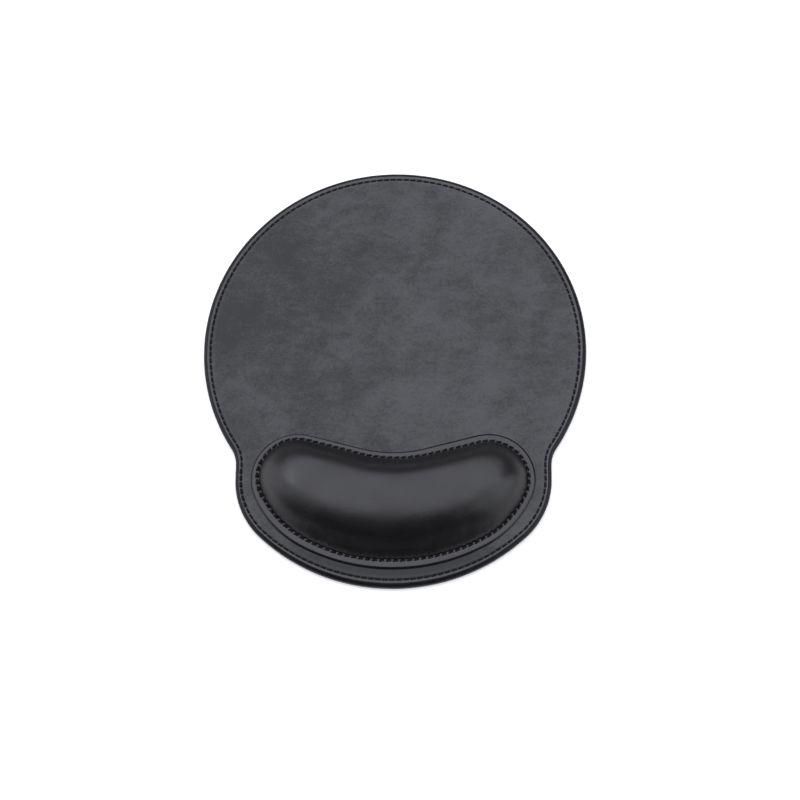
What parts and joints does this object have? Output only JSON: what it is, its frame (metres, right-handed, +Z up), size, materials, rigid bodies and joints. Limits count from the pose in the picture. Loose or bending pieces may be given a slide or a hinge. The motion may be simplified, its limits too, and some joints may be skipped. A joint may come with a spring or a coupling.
{
  "type": "mouse pad",
  "caption": "Flat sewn mouse pad with a broad foot and a crowned, kidney-shaped wrist rest stitched onto its upper sheet.",
  "frame": {"origin": "under the middle of the pad's outline, on the surface that the pad rests on", "axes": "+X to the user's right, +Y away from the user towards the far edge, +Z up out of the mousing surface"},
  "size_m": [0.219, 0.2502, 0.0225],
  "materials": {
    "underside_leather": "grey coated leather, embossed for grip",
    "board": "brown fibre board",
    "upper_leather": "matte mottled grey coated leather",
    "edge_coating": "black edge coating, satin",
    "rest_leather": "smooth black coated leather, semi-gloss",
    "foam": "open-cell cushion foam",
    "thread": "black bonded sewing thread"
  },
  "bodies": {
    "root": {"base_sheet": "underside_leather", "core_board": "board", "top_sheet": "upper_leather", "edge_coating": "edge_coating", "rim_needle_thread": "thread", "rim_bobbin_thread": "thread", "wrist_rest_cover": "rest_leather", "wrist_rest_foam": "foam", "wrist_rest_needle_thread": "thread", "wrist_rest_bobbin_thread": "thread"}
  },
  "joints": []
}
